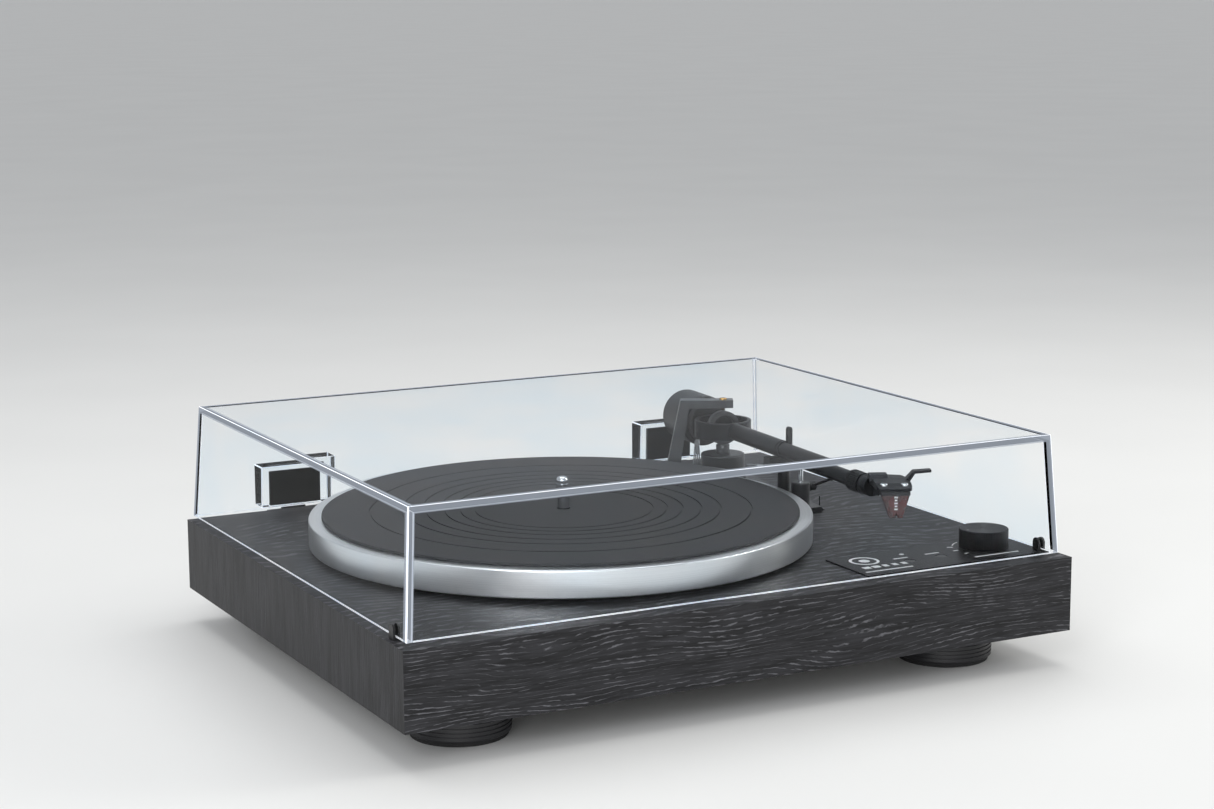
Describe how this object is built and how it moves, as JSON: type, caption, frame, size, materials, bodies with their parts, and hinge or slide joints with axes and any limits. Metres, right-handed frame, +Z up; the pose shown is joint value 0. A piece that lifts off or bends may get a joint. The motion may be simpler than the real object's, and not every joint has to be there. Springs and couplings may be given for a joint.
{
  "type": "turntable record player",
  "caption": "Belt-drive record player on a black oak plinth: turning platter, gimballed tonearm with cartridge, speed knob and a hinged clear lid.",
  "frame": {"origin": "on the floor under the feet, in the middle of the whole width and depth", "axes": "+X to the player's right, +Y to the back where the hinges are, +Z up"},
  "size_m": [0.435, 0.37, 0.1406],
  "materials": {
    "black_oak": "black-stained oak veneer, open grain with grey pores",
    "black_steel": "fine-texture black powder coat",
    "black_screw": "black-oxide steel",
    "zinc_screw": "zinc-plated",
    "pad_rubber": "matt",
    "foot_plastic": "fine moulded texture",
    "cast_alloy": "turned",
    "brass": "turned",
    "polished_steel": "polished",
    "platter_aluminium": "fine-turned, clear anodised",
    "mat_rubber": "matt with fine grooves",
    "acetal": "moulded",
    "motor_steel": "plated",
    "board_laminate": "solder-mask green",
    "gilt_metal": "gold plated",
    "black_plastic": "satin moulded",
    "panel_black": "satin anodised with white printed marks",
    "knob_black": "black anodised, turned",
    "arm_base_black": "satin black",
    "bracket_grey": "dark grey satin enamel",
    "arm_black": "satin black anodised",
    "collar_black": "knurled, black anodised",
    "headshell_black": "satin black",
    "cartridge_grey": "moulded",
    "stylus_red": "dark red translucent",
    "weight_black": "satin black",
    "clear_acrylic": "clear, polished edges",
    "hinge_steel": "black"
  },
  "bodies": {
    "plinth": {"plinth_case": "black_oak", "bottom_cover": "black_steel", "tray_screws": "black_screw", "foot_front_left": "foot_plastic", "foot_front_right": "foot_plastic", "foot_rear_left": "foot_plastic", "foot_rear_right": "foot_plastic", "foot_pads": "pad_rubber", "bearing_housing": "cast_alloy", "bearing_bush": "brass", "thrust_ball": "polished_steel", "machine_screws": "zinc_screw", "motor_body": "motor_steel", "motor_grommets": "pad_rubber", "drive_belt": "mat_rubber", "circuit_board": "board_laminate", "control_board": "board_laminate", "connector_plate": "black_steel", "output_jacks": "gilt_metal", "dc_inlet": "black_plastic", "control_panel": "panel_black", "arm_base": "arm_base_black", "arm_bracket": "bracket_grey", "upper_pivot_screw": "gilt_metal", "lower_pivot_cup": "bracket_grey", "arm_leads": "polished_steel", "arm_rest_post": "black_plastic", "lift_cylinder": "arm_base_black", "hinge_base_left": "hinge_steel", "hinge_base_right": "hinge_steel", "hinge_pins": "polished_steel", "hinge_screws": "black_screw"},
    "lid": {"lid_shell": "clear_acrylic", "hinge_sockets": "clear_acrylic", "hinge_leg_left": "hinge_steel", "hinge_leg_right": "hinge_steel", "lid_clips": "black_plastic"},
    "turning_platter": {"platter": "platter_aluminium", "platter_mat": "mat_rubber", "sub_platter": "acetal", "spindle_shaft": "polished_steel"},
    "pulley": {"motor_pulley": "brass"},
    "yaw_hoop": {"gimbal_hoop": "bracket_grey"},
    "tonearm": {"gimbal_ring": "arm_black", "arm_tube": "arm_black", "arm_stub": "arm_black", "headshell": "headshell_black", "cartridge_screws": "polished_steel", "cartridge_body": "cartridge_grey", "stylus_holder": "stylus_red", "cantilever": "polished_steel"},
    "collar": {"locking_ring": "collar_black"},
    "weight": {"counterweight": "weight_black"},
    "dial": {"force_dial": "black_plastic"},
    "lift": {"lift_bar": "polished_steel"},
    "lever": {"cue_lever": "black_plastic"},
    "rest_clip": {"arm_rest_clip": "black_plastic"},
    "knob": {"speed_knob": "knob_black"},
    "left_button": {"size_button": "black_plastic"},
    "right_button": {"start_button": "black_plastic"}
  },
  "joints": [
    {"name": "lid_hinge", "type": "hinge", "parent": "plinth", "child": "lid", "pos_m": [0, 0.1784, 0.0608], "axis": [-1, 0, 0], "range_deg": [0, 60]},
    {"name": "platter_spin", "type": "hinge", "parent": "plinth", "child": "turning_platter", "pos_m": [-0.0325, -0.0013, 0.0668], "axis": [0, 0, -1], "continuous": true},
    {"name": "pulley_spin", "type": "hinge", "parent": "plinth", "child": "pulley", "pos_m": [-0.1325, 0.0587, 0.0668], "axis": [0, 0, -1], "continuous": true},
    {"name": "arm_yaw", "type": "hinge", "parent": "plinth", "child": "yaw_hoop", "pos_m": [0.14, 0.098, 0.1035], "axis": [0, 0, -1], "range_deg": [0, 44]},
    {"name": "arm_pitch", "type": "hinge", "parent": "yaw_hoop", "child": "tonearm", "pos_m": [0.14, 0.098, 0.1035], "axis": [-0.9985, 0.0541, 0], "range_deg": [0, 4]},
    {"name": "collar_turn", "type": "hinge", "parent": "tonearm", "child": "collar", "pos_m": [0.13016, -0.08373, 0.1035], "axis": [-0.0541, -0.9985, 0], "range_deg": [0, 30]},
    {"name": "weight_turn", "type": "hinge", "parent": "tonearm", "child": "weight", "pos_m": [0.14233, 0.14094, 0.1035], "axis": [-0.0541, -0.9985, 0], "range_deg": [-180, 180]},
    {"name": "dial_turn", "type": "hinge", "parent": "tonearm", "child": "dial", "pos_m": [0.1413, 0.12197, 0.1035], "axis": [-0.0541, -0.9985, 0], "range_deg": [-180, 180]},
    {"name": "lever_turn", "type": "hinge", "parent": "plinth", "child": "lever", "pos_m": [0.148, 0.001, 0.0833], "axis": [1, 0, 0], "range_deg": [0, 25]},
    {"name": "lift_slide", "type": "slide", "parent": "plinth", "child": "lift", "axis": [0, 0, 1], "range_m": [-0.004, 0]},
    {"name": "clip_swing", "type": "hinge", "parent": "plinth", "child": "rest_clip", "pos_m": [0.14478, 0.02, 0.0985], "axis": [0, 1, 0], "range_deg": [0, 70]},
    {"name": "knob_turn", "type": "hinge", "parent": "plinth", "child": "knob", "pos_m": [0.184, -0.14, 0.0718], "axis": [0, 0, 1], "range_deg": [-35, 35]},
    {"name": "size_press", "type": "slide", "parent": "plinth", "child": "left_button", "axis": [0, 0, -1], "range_m": [0, 0.001], "stiffness_N_per_m": 400, "springref_m": -0.001},
    {"name": "start_press", "type": "slide", "parent": "plinth", "child": "right_button", "axis": [0, 0, -1], "range_m": [0, 0.001], "stiffness_N_per_m": 400, "springref_m": -0.001}
  ],
  "couplings": [
    {"joint": "pulley_spin", "follows": "platter_spin", "ratio": 7.75},
    {"joint": "lever_turn", "follows": "lift_slide", "rad_per_m": -109.08}
  ]
}
